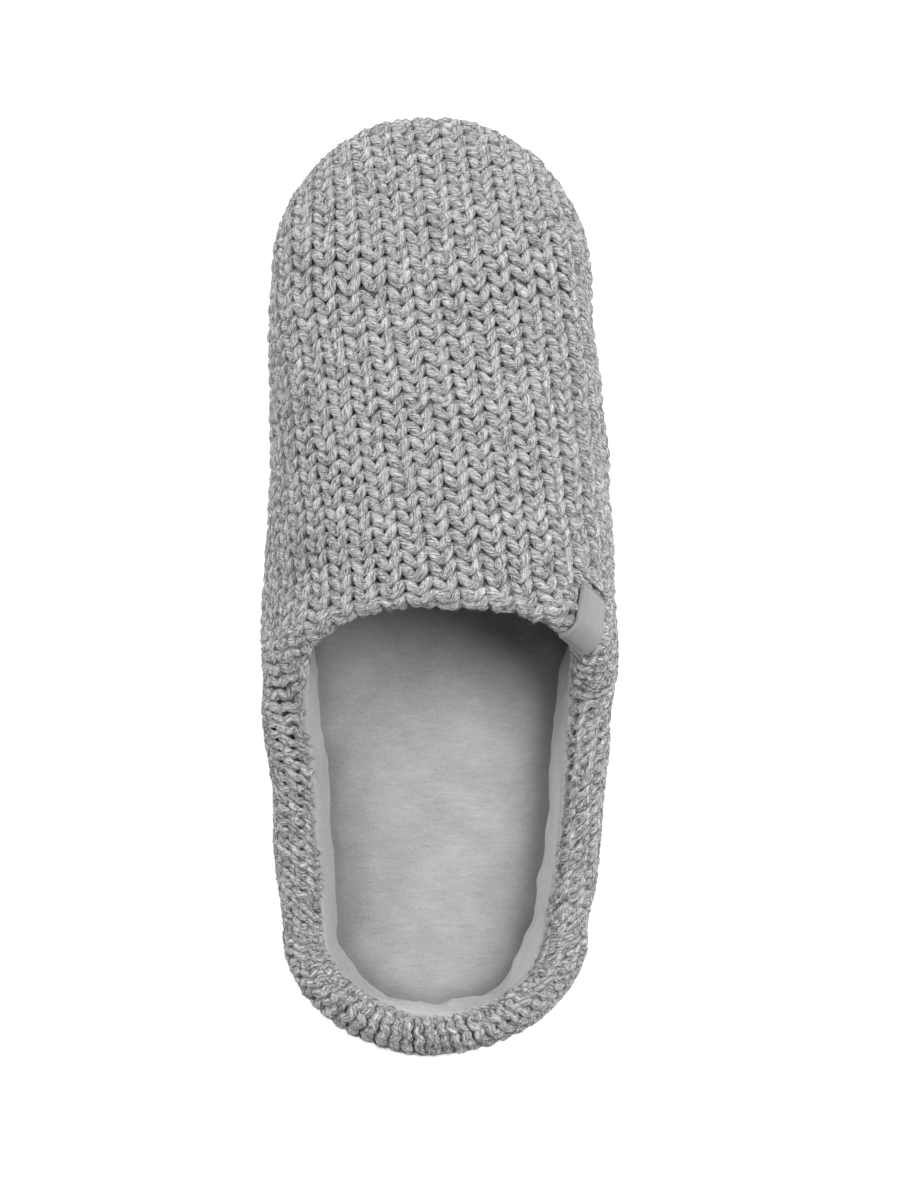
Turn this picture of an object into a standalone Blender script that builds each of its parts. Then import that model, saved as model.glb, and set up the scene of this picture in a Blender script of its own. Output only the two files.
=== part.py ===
"""A knitted slipper for the right foot, empty and standing on its rubber sole.

Metres, +Z up, +Y towards the toe, +X towards the outer (lateral) side. The floor is at Z = 0.
The upper is drawn as a shoemaker's flat pattern: u runs across the foot and v along it, and last_point
wraps that pattern round the last, whose sections come from length, width, instep and heel height.
"""

import math

import bmesh
import bpy
import numpy as np

MM = 0.001

# Driving dimensions
LENGTH = 283 * MM
WIDTH = 107 * MM
INSTEP_HEIGHT = 76 * MM
HEEL_HEIGHT = 48 * MM
WALL, COLLAR_WALL, BACK_THINNER = 7.5 * MM, 12.5 * MM, 1.0 * MM
TUCK, HEEL_TUCK = 5.5 * MM, 3.4 * MM
GAP = 0.3 * MM

# The last, from heel to toe. along is a share of the length; spine, medial and lateral are shares of the
# width, out from the long axis; ridge is a share of the instep height, and closes over the foot also
# where the collar leaves it open; widest is where the wall stands out most, as a share of the heel height.
SECTION_COLUMNS = ("along", "spine", "medial", "lateral", "ridge", "widest")
SECTIONS = (
    (0.131, -0.014, 0.442, 0.414, 1.50, 0.74),
    (0.217, -0.016, 0.461, 0.452, 1.45, 0.73),
    (0.288, -0.018, 0.472, 0.466, 1.37, 0.71),
    (0.359, -0.019, 0.496, 0.481, 1.25, 0.68),
    (0.429, -0.020, 0.499, 0.497, 1.12, 0.62),
    (0.500, -0.021, 0.498, 0.497, 1.01, 0.56),
    (0.571, -0.022, 0.485, 0.488, 0.955, 0.52),
    (0.641, -0.024, 0.480, 0.477, 0.89, 0.50),
    (0.712, -0.027, 0.484, 0.457, 0.81, 0.48),
    (0.806, -0.032, 0.482, 0.430, 0.69, 0.47),
    (0.900, -0.036, 0.482, 0.430, 0.61, 0.49),
    (1.000, -0.036, 0.482, 0.430, 0.53, 0.52),
)
HEEL_PIVOT, TOE_PIVOT = 0.131, 0.806
HEEL_POWER, TOE_POWER = 1.93, 2.18
DOME_POWER = 2.15
TUCK_TURN = math.radians(62)

# Below this height over the sole the wall's thickness is measured level, so that the wall stands on the sole.
LEVEL_BELOW = 18 * MM

# The sole, from heel to toe, in millimetres: the height of its underside and of its upper face.
SOLE_COLUMNS = ("along", "underside", "top")
SOLE = (
    (0.000, 1.6, 13.4),
    (0.035, 0.0, 13.2),
    (0.100, 0.0, 13.0),
    (0.300, 0.0, 12.6),
    (0.360, 0.6, 12.0),
    (0.450, 1.8, 11.4),
    (0.530, 0.6, 10.9),
    (0.580, 0.0, 10.6),
    (0.700, 0.0, 10.4),
    (0.790, 0.0, 10.4),
    (0.880, 1.6, 11.6),
    (0.950, 4.2, 13.6),
    (1.000, 6.8, 15.8),
)
SOLE_LEDGE = 2.2 * MM
INSOLE_THICKNESS = 5.0 * MM

# The footbed's side: how far it keeps from the lining, in millimetres, and its share of the thickness.
INSOLE_EDGE = ((0.4, 0.0), (0.4, 0.35), (0.4, 0.75), (1.2, 1.0))

# The sole's side from the floor up: how far each step lies inside the sole's edge, in millimetres, and its
# share of the sole's height there. Two grooves leave three ribs.
SOLE_SIDE = (
    (3.0, 0.0),
    (1.0, 0.07),
    (0.0, 0.20),
    (0.0, 0.36),
    (0.9, 0.40),
    (0.9, 0.48),
    (0.0, 0.52),
    (0.0, 0.68),
    (0.9, 0.72),
    (0.9, 0.80),
    (0.3, 0.84),
    (0.4, 0.95),
    (1.2, 1.0),
)

# The tread's grooves: where the first and the last lie under heel and forefoot, in millimetres, and how many.
HEEL_GROOVES = (-116, -62, 6)
FOREFOOT_GROOVES = (24, 92, 7)
GROOVE_DEPTH, GROOVE_WIDTH, GROOVE_LEAN = 1.6 * MM, 2.4 * MM, 9 * MM

# The opening. The throat is an arch across the pattern, and the collar runs on round the heel.
THROAT = -1.5 * MM
ARCH_START = -48 * MM
ARCH_POWER = {-1: 1.85, 1: 2.1}
COLLAR_COLUMNS = ("along", "height")
COLLAR = ((0.0, 1.0), (0.10, 0.98), (0.20, 0.93), (0.27, 0.915), (0.33, 0.92), (0.40, 0.925))

# The label's middle, as a turn round the throat's outer arch, and its reach outside the edge and past it.
LABEL_AT = math.radians(49)
LABEL_SIZE = (12 * MM, 12.5 * MM, 8.5 * MM)
LABEL_THICKNESS = 1.2 * MM

# How finely the surfaces are divided
DOME_STEPS, TUCK_STEPS = 22, 6
HEEL_STATIONS, SIDE_STATIONS, ARCH_STATIONS = 10, 8, 26
UPPER_ROWS, ROLL_ROWS = 17, 6
LABEL_ROWS, LABEL_COLUMNS = 13, 4

COLOURS = {
    "outsole": ((0.085, 0.085, 0.09), 0.62),
    "upper": ((0.36, 0.36, 0.36), 0.92),
    "insole": ((0.45, 0.45, 0.45), 0.95),
    "label": ((0.33, 0.33, 0.33), 0.5),
}


def along_to_y(along):
    return (np.asarray(along, float) - 0.5) * LENGTH


def points_of(table, names, column, unit):
    rows = np.array(table, float)
    return along_to_y(rows[:, 0]), rows[:, names.index(column)] * unit


def read(table, names, column, x, unit):
    """A smooth curve through one column of a table, read at x."""
    xs, ys = points_of(table, names, column, unit)
    slopes = np.gradient(ys, xs)
    x = np.clip(x, xs[0], xs[-1])
    i = np.clip(np.searchsorted(xs, x, side="right") - 1, 0, len(xs) - 2)
    h = xs[i + 1] - xs[i]
    t = (x - xs[i]) / h
    return (
        ys[i] * (1 + 2 * t) * (1 - t) ** 2
        + ys[i + 1] * t * t * (3 - 2 * t)
        + slopes[i] * h * t * (1 - t) ** 2
        - slopes[i + 1] * h * t * t * (1 - t)
    )


def spine_x(y):
    return read(SECTIONS, SECTION_COLUMNS, "spine", y, WIDTH)


def half_width(side, y):
    """From the spine to the widest line, on the inner side (-1) or the outer side (1)."""
    medial = read(SECTIONS, SECTION_COLUMNS, "medial", y, WIDTH) + spine_x(y)
    lateral = read(SECTIONS, SECTION_COLUMNS, "lateral", y, WIDTH) - spine_x(y)
    return np.where(np.asarray(side) < 0, medial, lateral)


def ridge_height(y):
    return read(SECTIONS, SECTION_COLUMNS, "ridge", y, INSTEP_HEIGHT)


def widest_height(y):
    return read(SECTIONS, SECTION_COLUMNS, "widest", y, HEEL_HEIGHT)


def sole_top(y):
    return np.interp(y, *points_of(SOLE, SOLE_COLUMNS, "top", MM))


def sole_underside(y):
    return np.interp(y, *points_of(SOLE, SOLE_COLUMNS, "underside", MM))


def smooth_step(x):
    t = np.clip(x, 0, 1)
    return t * t * (3 - 2 * t)


def tuck_at(y):
    """How far the wall draws in below the widest line; the heel is the steepest."""
    return TUCK + (HEEL_TUCK - TUCK) * smooth_step((Y_HEEL - y) / HEEL_REACH)


def wall_thickness(v):
    """The quarter and its collar are padded; the vamp is knit and lining alone."""
    padding = smooth_step((THROAT - v) / (30 * MM))
    back = smooth_step((Y_HEEL - v) / (40 * MM))
    return WALL + (COLLAR_WALL - WALL) * padding - BACK_THINNER * back


Y_HEEL, Y_TOE = (float(along_to_y(p)) for p in (HEEL_PIVOT, TOE_PIVOT))
HEEL_REACH, TOE_REACH = Y_HEEL + LENGTH / 2, LENGTH / 2 - Y_TOE
RIDGE_Y = np.linspace(THROAT, Y_TOE, 60)
RIDGE_V = THROAT + np.concatenate(
    [[0], np.cumsum(np.hypot(np.diff(RIDGE_Y), np.diff(ridge_height(RIDGE_Y))))]
)
V_TOE = float(RIDGE_V[-1])
HEEL_ARC = math.pi / 4 * (HEEL_REACH + float(half_width(1, Y_HEEL) + half_width(-1, Y_HEEL)) / 2)


def dome_profile():
    """From the ridge down to the widest line: share of the half width, and share of the height."""
    turn = np.linspace(math.pi / 2, 0, DOME_STEPS)
    return np.cos(turn) ** (2 / DOME_POWER), np.sin(turn) ** (2 / DOME_POWER)


def spokes(base, reach):
    """The last's section from the spine point base out along reach, down to the sole, as (N, K, 3) points."""
    share, rise = dome_profile()
    length = np.linalg.norm(reach, axis=1)
    turn = np.linspace(0, TUCK_TURN, TUCK_STEPS + 1)[1:]
    inset = (1 - np.cos(turn)) / (1 - math.cos(TUCK_TURN))
    drop = np.sin(turn) / math.sin(TUCK_TURN)
    tip = (base + reach)[:, 1]
    out = np.concatenate(
        [np.outer(np.ones(len(base)), share), 1 - np.outer(tuck_at(tip) / length, inset)], 1
    )
    plan = base[:, None, :] + out[:, :, None] * reach[:, None, :]
    y = plan[:, :, 1]
    low = widest_height(y)
    feather = sole_top(y) + GAP
    dome = low + (ridge_height(y) - low) * np.concatenate([rise, np.zeros(TUCK_STEPS)])
    tuck = (low - feather) * np.concatenate([np.zeros(DOME_STEPS), drop])
    return np.concatenate([plan, (dome - tuck)[:, :, None]], 2)


def lengths(points):
    steps = np.linalg.norm(np.diff(points, axis=1), axis=2)
    return np.concatenate([np.zeros((len(points), 1)), np.cumsum(steps, axis=1)], 1)


def side_spokes(side, y):
    y = np.asarray(y, float)
    base = np.stack([spine_x(y), y], 1)
    reach = np.stack([side * half_width(side, y), np.zeros_like(y)], 1)
    return spokes(base, reach)


def side_girth(side, y):
    """Length of the last's section on one side, from the spine to the sole."""
    return lengths(side_spokes(side, np.atleast_1d(y)))[:, -1]


THROAT_GIRTH = {side: float(side_girth(side, THROAT)[0]) for side in (-1, 1)}


def throat_girth(side):
    return np.where(side < 0, THROAT_GIRTH[-1], THROAT_GIRTH[1])


def last_point(u, v):
    """The pattern point (u, v) on the outside of the upper. Past the throat the pattern hangs from the sole's
    edge instead of from the ridge, and at toe and heel it fans round a pivot."""
    u, v = (np.atleast_1d(np.asarray(c, float)) for c in (u, v))
    side = np.where(u < 0, -1, 1)
    toe, heel, quarter = v > V_TOE, v < Y_HEEL, v < THROAT
    y = np.where(quarter, v, np.interp(v, RIDGE_V, RIDGE_Y))
    y = np.clip(y, Y_HEEL, Y_TOE)
    base = np.stack([spine_x(y), y], 1)
    bend = np.zeros_like(u)
    bend[toe] = math.pi / 2 - np.arctan2(np.abs(u[toe]), v[toe] - V_TOE)
    bend[heel] = (v[heel] - Y_HEEL) / HEEL_ARC * math.pi / 2
    power = 2 / np.where(heel, HEEL_POWER, TOE_POWER)
    across = np.abs(np.cos(bend)) ** power
    ahead = np.sign(bend) * np.abs(np.sin(bend)) ** power
    depth = np.where(heel, HEEL_REACH, TOE_REACH)
    reach = np.stack([side * half_width(side, y) * across, depth * ahead], 1)
    points = spokes(base, reach)
    run = lengths(points)
    s = np.where(toe, np.hypot(u, v - V_TOE), np.abs(u))
    s = np.where(quarter, run[:, -1] - (throat_girth(side) - np.abs(u)), s)
    i = np.clip((run <= s[:, None]).sum(1) - 1, 0, run.shape[1] - 2)
    row = np.arange(len(u))
    t = (s - run[row, i]) / (run[row, i + 1] - run[row, i])
    return points[row, i] * (1 - t)[:, None] + points[row, i + 1] * t[:, None]


def unit(vectors):
    return vectors / np.linalg.norm(vectors, axis=-1, keepdims=True)


def last_normal(u, v):
    step = 0.6 * MM
    across = last_point(u + step, v) - last_point(u - step, v)
    ahead = last_point(u, v + step) - last_point(u, v - step)
    return unit(np.cross(across, ahead))


def feather_u(side, v):
    """Pattern distance from the centre line to the sole's edge beside the vamp or the quarter."""
    y = np.clip(np.interp(v, RIDGE_V, RIDGE_Y), THROAT, Y_TOE)
    return side * side_girth(side, y)


def toe_girth(bend):
    """Length of the toe's section from its pivot to the sole, for bends from the outer side to the inner."""
    side = np.where(bend < math.pi / 2, 1, -1)
    across = np.abs(np.cos(bend)) ** (2 / TOE_POWER)
    ahead = np.sin(bend) ** (2 / TOE_POWER)
    y = np.full_like(bend, Y_TOE)
    base = np.stack([spine_x(y), y], 1)
    reach = np.stack([side * half_width(side, y) * across, TOE_REACH * ahead], 1)
    return lengths(spokes(base, reach))[:, -1]


def collar_u(side, v):
    """Pattern distance from the centre line to the quarter's collar, from the collar's height."""
    v = np.atleast_1d(v)
    u_now = np.full(len(v), throat_girth(side) - 20 * MM)
    target = read(COLLAR, COLLAR_COLUMNS, "height", v_to_y(v), HEEL_HEIGHT) - wall_thickness(v) / 2
    for _ in range(12):
        height = last_point(side * u_now, v)[:, 2]
        u_now = u_now + (height - target) * 0.9
    return side * u_now


def v_to_y(v):
    """How far back a pattern station of the quarter lies; round the heel it follows the fan."""
    turn = np.clip((Y_HEEL - v) / HEEL_ARC, 0, 1) * math.pi / 2
    return np.where(v < Y_HEEL, Y_HEEL - HEEL_REACH * np.sin(turn), v)


def quarter_stations():
    """Pattern stations from the centre back to where the throat's arch starts."""
    round_heel = np.linspace(Y_HEEL - HEEL_ARC, Y_HEEL, HEEL_STATIONS)
    along_side = np.linspace(Y_HEEL, ARCH_START, SIDE_STATIONS)
    return np.concatenate([round_heel[:-1], along_side[:-1]])


def arch_edge(side, turn):
    """The throat's edge in the pattern, from the side (turn 0) to the centre line."""
    corner = float(abs(collar_u(side, np.array([ARCH_START]))[0]))
    power = 2 / ARCH_POWER[side]
    u = side * corner * np.abs(np.cos(turn)) ** power
    v = ARCH_START + (THROAT - ARCH_START) * np.abs(np.sin(turn)) ** power
    return np.stack([u, v], 1)


def side_lines(side):
    """For one side, from the centre back to the toe: the pattern points on the sole's edge and those on the
    opening's edge that face them."""
    v = quarter_stations()
    feather = np.stack([np.full(len(v), side * throat_girth(side)), v], 1)
    edge = np.stack([collar_u(side, v), v], 1)

    t = np.linspace(0, 1, ARCH_STATIONS)
    edge = np.concatenate([edge, arch_edge(side, t * math.pi / 2)])
    vamp_length = V_TOE - ARCH_START
    toe_length = 0.5 * math.pi * float(toe_girth(np.array([math.pi / 4]))[0])
    run = t ** 0.92 * (vamp_length + toe_length)
    on_vamp = run < vamp_length
    vamp_v = ARCH_START + run[on_vamp]
    vamp = np.stack([feather_u(side, vamp_v), vamp_v], 1)
    bend = (run[~on_vamp] - vamp_length) / toe_length * math.pi / 2
    radius = toe_girth(bend if side > 0 else math.pi - bend)
    toe = np.stack([side * radius * np.cos(bend), V_TOE + radius * np.sin(bend)], 1)
    return np.concatenate([feather, vamp, toe]), edge


def both_sides(outer, inner):
    """One loop from two lines that share their ends."""
    return np.concatenate([outer, inner[-2:0:-1]])


def roll_over(edge, along, past):
    """Where the fabric lies that runs past the opening's edge: round a half circle, then down the inside.
    edge holds pattern points that follow each other round the opening, along their direction in space."""
    u, v = edge.T
    here, normal = last_point(u, v), last_normal(u, v)
    travel = unit(np.cross(normal, along))
    radius = wall_thickness(v) / 2
    turn = np.clip(past / radius, 0, math.pi)[:, None]
    straight = np.maximum(past - math.pi * radius, 0)[:, None]
    radius = radius[:, None]
    point = here + radius * (np.sin(turn) * travel - (1 - np.cos(turn)) * normal)
    return point - straight * travel, np.cos(turn) * normal + np.sin(turn) * travel


def upper_skins():
    """The upper's rings, as lists: up the outside, over the rolled edge and down the inside."""
    lines = [both_sides(o, i) for o, i in zip(side_lines(1), side_lines(-1))]
    feather, edge = lines
    t = np.linspace(0, 1, UPPER_ROWS)
    outside, inside = [], []
    for share in (t + t * t) / 2:
        u, v = (feather + (edge - feather) * share).T
        point, normal = last_point(u, v), last_normal(u, v)
        above = point[:, 2] - sole_top(point[:, 1]) - GAP
        free = smooth_step(above / LEVEL_BELOW)
        normal[:, 2] *= free + (1 - free) * share
        outside.append(point)
        inside.append(point - unit(normal) * wall_thickness(v)[:, None])
    for ring in (outside[0], inside[0]):
        ring[:, 2] = sole_top(ring[:, 1]) + GAP
    top = last_point(*edge.T)
    along = np.roll(top, -1, axis=0) - np.roll(top, 1, axis=0)
    turns = np.linspace(0, math.pi, ROLL_ROWS + 2)[1:-1]
    reach = wall_thickness(edge[:, 1]) / 2
    roll = [roll_over(edge, along, turn * reach)[0] for turn in turns]
    return outside, roll, inside[::-1]


def plan_outline(inset):
    """The widest line seen from above, moved in by inset plus the tuck, as a loop from heel to toe on the
    outer side and back on the inner side."""
    y = np.linspace(Y_HEEL, Y_TOE, 26)
    turn = np.linspace(0, math.pi / 2, 13)
    lines = []
    for side in (1, -1):
        pieces = []
        for pivot, reach, power in (
            (Y_HEEL, -HEEL_REACH, HEEL_POWER),
            (Y_TOE, TOE_REACH, TOE_POWER),
        ):
            across, ahead = (f(turn) ** (2 / power) for f in (np.cos, np.sin))
            x = spine_x(pivot) + side * half_width(side, pivot) * np.abs(across)
            pieces.append(np.stack([x, pivot + reach * ahead], 1))
        middle = np.stack([spine_x(y) + side * half_width(side, y), y], 1)
        lines.append(np.concatenate([pieces[0][::-1], middle[1:-1], pieces[1]]))
    loop = both_sides(*lines)
    ahead = unit(np.roll(loop, -1, axis=0) - np.roll(loop, 1, axis=0))
    outward = np.stack([ahead[:, 1], -ahead[:, 0]], 1)
    return loop - outward * (tuck_at(loop[:, 1]) + inset)[:, None]


def solid_from_rings(name, rings, closed_tube=False):
    """A mesh object skinned over rings of equal length. Open ends are closed with strips across the foot."""
    mesh = bmesh.new()
    rows = [[mesh.verts.new(point) for point in ring] for ring in rings]
    count = len(rows[0])
    pairs = list(zip(rows, rows[1:])) + ([(rows[-1], rows[0])] if closed_tube else [])
    for lower, upper in pairs:
        for i in range(count):
            j = (i + 1) % count
            mesh.faces.new((lower[i], lower[j], upper[j], upper[i]))
    if not closed_tube:
        cap(mesh, rows[0])
        cap(mesh, rows[-1])
    return solid_from_mesh(name, mesh)


def solid_from_mesh(name, mesh):
    bmesh.ops.recalc_face_normals(mesh, faces=mesh.faces)
    data = bpy.data.meshes.new(name)
    mesh.to_mesh(data)
    mesh.free()
    part = bpy.data.objects.new(name, data)
    PARTS.objects.link(part)
    data.shade_smooth()
    data.set_sharp_from_angle(angle=math.radians(40))
    return part


def cap(mesh, ring):
    """Fills a loop that starts at the centre line with strips between its two sides."""
    for i in range(len(ring) // 2):
        corners = dict.fromkeys((ring[i], ring[i + 1], ring[-i - 1], ring[-i]))
        if len(corners) > 2:
            mesh.faces.new(tuple(corners))


def paint(part, slot):
    colour, roughness = COLOURS[slot]
    material = bpy.data.materials.new(slot)
    material.use_nodes = True
    shader = material.node_tree.nodes["Principled BSDF"]
    shader.inputs["Base Color"].default_value = (*colour, 1)
    shader.inputs["Roughness"].default_value = roughness
    part.data.materials.append(material)


def build_upper():
    outside, roll, inside = upper_skins()
    upper = solid_from_rings("upper", outside + roll + inside, closed_tube=True)
    paint(upper, "upper")


def sole_ring(inset, share):
    """A ring round the sole, share of the way up from the underside to the top."""
    plan = plan_outline(inset)
    low, high = sole_underside(plan[:, 1]), sole_top(plan[:, 1])
    return np.concatenate([plan, (low + (high - low) * share)[:, None]], 1)


def build_outsole():
    rings = [sole_ring(inside * MM - SOLE_LEDGE, share) for inside, share in SOLE_SIDE]
    outsole = solid_from_rings("outsole", rings)
    paint(outsole, "outsole")
    for y in groove_stations():
        groove = chevron_cutter(y)
        cut = outsole.modifiers.new(groove.name, "BOOLEAN")
        cut.operation = "DIFFERENCE"
        cut.solver = "EXACT"
        cut.object = groove


def groove_stations():
    """Centres of the tread's grooves: under the heel, and under the forefoot up to the toe spring."""
    return np.concatenate([np.linspace(*HEEL_GROOVES), np.linspace(*FOREFOOT_GROOVES)]) * MM


def chevron_cutter(y):
    """A shallow V across the sole, from below the floor up to the groove's depth."""
    reach = 0.62 * WIDTH
    line = ((-reach, -GROOVE_LEAN), (0, GROOVE_LEAN), (reach, -GROOVE_LEAN))
    mesh = bmesh.new()
    rows = []
    for z in (-2 * GROOVE_DEPTH, GROOVE_DEPTH):
        front = [mesh.verts.new((x, y + dy + GROOVE_WIDTH / 2, z)) for x, dy in line]
        back = [mesh.verts.new((x, y + dy - GROOVE_WIDTH / 2, z)) for x, dy in line]
        rows.append(back + front[::-1])
    low, high = rows
    for i in range(len(low)):
        j = (i + 1) % len(low)
        mesh.faces.new((low[i], low[j], high[j], high[i]))
    for ring in rows:
        mesh.faces.new((ring[0], ring[1], ring[4], ring[5]))
        mesh.faces.new((ring[1], ring[2], ring[3], ring[4]))
    bmesh.ops.recalc_face_normals(mesh, faces=mesh.faces)
    data = bpy.data.meshes.new("groove")
    mesh.to_mesh(data)
    mesh.free()
    cutter = bpy.data.objects.new("groove", data)
    cutter.hide_render = True
    cutter.display_type = "WIRE"
    CUTTERS.objects.link(cutter)
    return cutter


def build_insole():
    """The footbed: it fills the floor inside the upper up to the lining, with a rounded upper edge."""
    inside = np.array(upper_skins()[2][::-1])
    rings = []
    floor = sole_top(inside[0][:, 1]) + GAP
    for inset, share in INSOLE_EDGE:
        level = floor + INSOLE_THICKNESS * share
        ring = np.stack([at_height(line, z) for line, z in zip(inside.swapaxes(0, 1), level)])
        along = unit((np.roll(ring, -1, axis=0) - np.roll(ring, 1, axis=0))[:, :2])
        ring[:, :2] -= np.stack([along[:, 1], -along[:, 0]], 1) * inset * MM
        ring[:, 2] = level
        rings.append(ring)
    insole = solid_from_rings("insole", rings)
    paint(insole, "insole")


def at_height(line, z):
    """The first point of a rising line that is z high."""
    i = int(np.argmax(line[1:, 2] > z))
    t = (z - line[i, 2]) / (line[i + 1, 2] - line[i, 2])
    return line[i] + (line[i + 1] - line[i]) * t


def label_skin():
    """Points and normals of the upper under the label, as (rows, columns, 3): rows from the vamp to the edge
    and over it, columns across the label."""
    width, outside, past = LABEL_SIZE
    turn = np.linspace(0, math.pi / 2, 400)
    curve = arch_edge(1, turn)
    middle = np.array([np.interp(LABEL_AT, turn, curve[:, i]) for i in (0, 1)])
    near = np.abs(turn - LABEL_AT).argmin()
    tangent = unit(curve[near + 1] - curve[near - 1])
    outward = np.array([tangent[1], -tangent[0]])
    columns = np.linspace(-0.5, 0.5, LABEL_COLUMNS) * width
    sideways, away = (curve - middle) @ tangent, (curve - middle) @ outward
    inner = np.interp(columns, sideways, away)
    edge = middle + columns[:, None] * tangent + inner[:, None] * outward
    along = np.gradient(last_point(*edge.T), axis=0)
    points, normals = [], []
    for b in np.linspace(outside, -past, LABEL_ROWS):
        u, v = (middle + columns[:, None] * tangent + max(b, 0) * outward).T
        flat, up = last_point(u, v), last_normal(u, v)
        over, out = roll_over(edge, along, np.maximum(inner - b, 0))
        beyond = (b < inner)[:, None]
        points.append(np.where(beyond, over, flat))
        normals.append(np.where(beyond, out, up))
    return np.array(points), np.array(normals)


def build_label():
    """A flexible tab, bare on top, folded over the collar at the throat's outer corner."""
    points, normals = label_skin()
    rows, columns = points.shape[:2]
    mesh = bmesh.new()
    sheets = []
    for lift in (GAP, GAP + LABEL_THICKNESS):
        sheet = (points + normals * lift).reshape(-1, 3)
        sheets.append([mesh.verts.new(point) for point in sheet])
    low, high = sheets
    for i in range(rows - 1):
        for j in range(columns - 1):
            a, b = i * columns + j, (i + 1) * columns + j
            mesh.faces.new((high[a], high[a + 1], high[b + 1], high[b]))
            mesh.faces.new((low[b], low[b + 1], low[a + 1], low[a]))
    rim = list(range(columns))
    rim += [i * columns + columns - 1 for i in range(1, rows)]
    rim += [(rows - 1) * columns + j for j in range(columns - 2, -1, -1)]
    rim += [i * columns for i in range(rows - 2, 0, -1)]
    for a, b in zip(rim, rim[1:] + rim[:1]):
        mesh.faces.new((low[a], low[b], high[b], high[a]))
    label = solid_from_mesh("label", mesh)
    paint(label, "label")


bpy.ops.object.select_all(action="DESELECT")
for leftover in list(bpy.data.objects):
    bpy.data.objects.remove(leftover)
PARTS = bpy.data.collections.new("knitted_slipper")
CUTTERS = bpy.data.collections.new("cutters")
for group in (PARTS, CUTTERS):
    bpy.context.scene.collection.children.link(group)
build_outsole()
build_insole()
build_upper()
build_label()
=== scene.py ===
"""The looks of a knitted slipper: yarn, plush lining and footbed, tab, rubber sole, light and camera.

Metres, +Z up, +Y towards the toe, +X towards the outer side of this right shoe. The floor is at Z = 0.
The knit is charted on a flat pattern (u across the foot, v along it) and wrapped round the last.
"""
import math

import bpy
import numpy as np
from bpy.props import FloatProperty, FloatVectorProperty, IntProperty, PointerProperty
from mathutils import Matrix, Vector


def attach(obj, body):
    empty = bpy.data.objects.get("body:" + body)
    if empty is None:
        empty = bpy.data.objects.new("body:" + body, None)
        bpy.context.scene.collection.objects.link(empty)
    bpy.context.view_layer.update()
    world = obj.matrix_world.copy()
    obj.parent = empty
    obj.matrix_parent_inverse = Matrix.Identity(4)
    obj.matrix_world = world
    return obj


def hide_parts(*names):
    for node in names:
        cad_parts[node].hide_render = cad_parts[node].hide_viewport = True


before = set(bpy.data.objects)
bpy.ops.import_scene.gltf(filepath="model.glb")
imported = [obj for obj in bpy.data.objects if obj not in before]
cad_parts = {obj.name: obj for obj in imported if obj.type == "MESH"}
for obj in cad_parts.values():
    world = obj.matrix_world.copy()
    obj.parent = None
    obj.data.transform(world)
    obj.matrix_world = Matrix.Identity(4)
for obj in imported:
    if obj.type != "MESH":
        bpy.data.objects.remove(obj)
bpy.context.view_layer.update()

bl_info = {
    "name": "Knitted Slipper",
    "version": (1, 0, 0),
    "blender": (4, 5, 0),
    "location": "View3D > Sidebar > Slipper",
    "description": "Knits, lines and lights one slipper round its frame",
    "category": "Object",
}

MM = 0.001
join = np.concatenate

# Driving dimensions, as in the solids
LENGTH = 283 * MM
WIDTH = 107 * MM
INSTEP_HEIGHT = 76 * MM
HEEL_HEIGHT = 48 * MM
WALL, COLLAR_WALL, BACK_THINNER = 7.5 * MM, 12.5 * MM, 1.0 * MM
PADDING_FADE, BACK_FADE = 30 * MM, 40 * MM
TUCK, HEEL_TUCK = 5.5 * MM, 3.4 * MM
GAP = 0.3 * MM

# The last, from heel to toe: along is a share of the length; spine, medial and lateral are shares of the
# width; ridge is a share of the instep height; widest is a share of the heel height.
ALONG, SPINE, MEDIAL, LATERAL, RIDGE, WIDEST = range(6)
SECTIONS = (
    (0.131, -0.014, 0.442, 0.414, 1.50, 0.74),
    (0.217, -0.016, 0.461, 0.452, 1.45, 0.73),
    (0.288, -0.018, 0.472, 0.466, 1.37, 0.71),
    (0.359, -0.019, 0.496, 0.481, 1.25, 0.68),
    (0.429, -0.020, 0.499, 0.497, 1.12, 0.62),
    (0.500, -0.021, 0.498, 0.497, 1.01, 0.56),
    (0.571, -0.022, 0.485, 0.488, 0.955, 0.52),
    (0.641, -0.024, 0.480, 0.477, 0.89, 0.50),
    (0.712, -0.027, 0.484, 0.457, 0.81, 0.48),
    (0.806, -0.032, 0.482, 0.430, 0.69, 0.47),
    (0.900, -0.036, 0.482, 0.430, 0.61, 0.49),
    (1.000, -0.036, 0.482, 0.430, 0.53, 0.52),
)
HEEL_PIVOT, TOE_PIVOT = 0.131, 0.806
HEEL_POWER, TOE_POWER = 1.93, 2.18
DOME_POWER = 2.15
TUCK_TURN = math.radians(62)
LEVEL_BELOW = 18 * MM

# The sole's upper face, from heel to toe: along, and its top in millimetres
TOP = 1
SOLE = (
    (0.000, 13.4),
    (0.035, 13.2),
    (0.100, 13.0),
    (0.300, 12.6),
    (0.360, 12.0),
    (0.450, 11.4),
    (0.530, 10.9),
    (0.580, 10.6),
    (0.700, 10.4),
    (0.790, 10.4),
    (0.880, 11.6),
    (0.950, 13.6),
    (1.000, 15.8),
)
INSOLE_THICKNESS = 5.0 * MM

# The opening; its collar's top along the shoe, as a share of the heel height; how the collar's line is
# found: the first guess over the sole's edge, the tries, and the share of the miss that each takes
THROAT, ARCH_START = -1.5 * MM, -48 * MM
ARCH_POWER = {-1: 1.85, 1: 2.1}
COLLAR = ((0.0, 1.0), (0.10, 0.98), (0.20, 0.93), (0.27, 0.915), (0.33, 0.92), (0.40, 0.925))
COLLAR_GUESS, COLLAR_TRIES, COLLAR_STEP = 20 * MM, 12, 0.9

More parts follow.
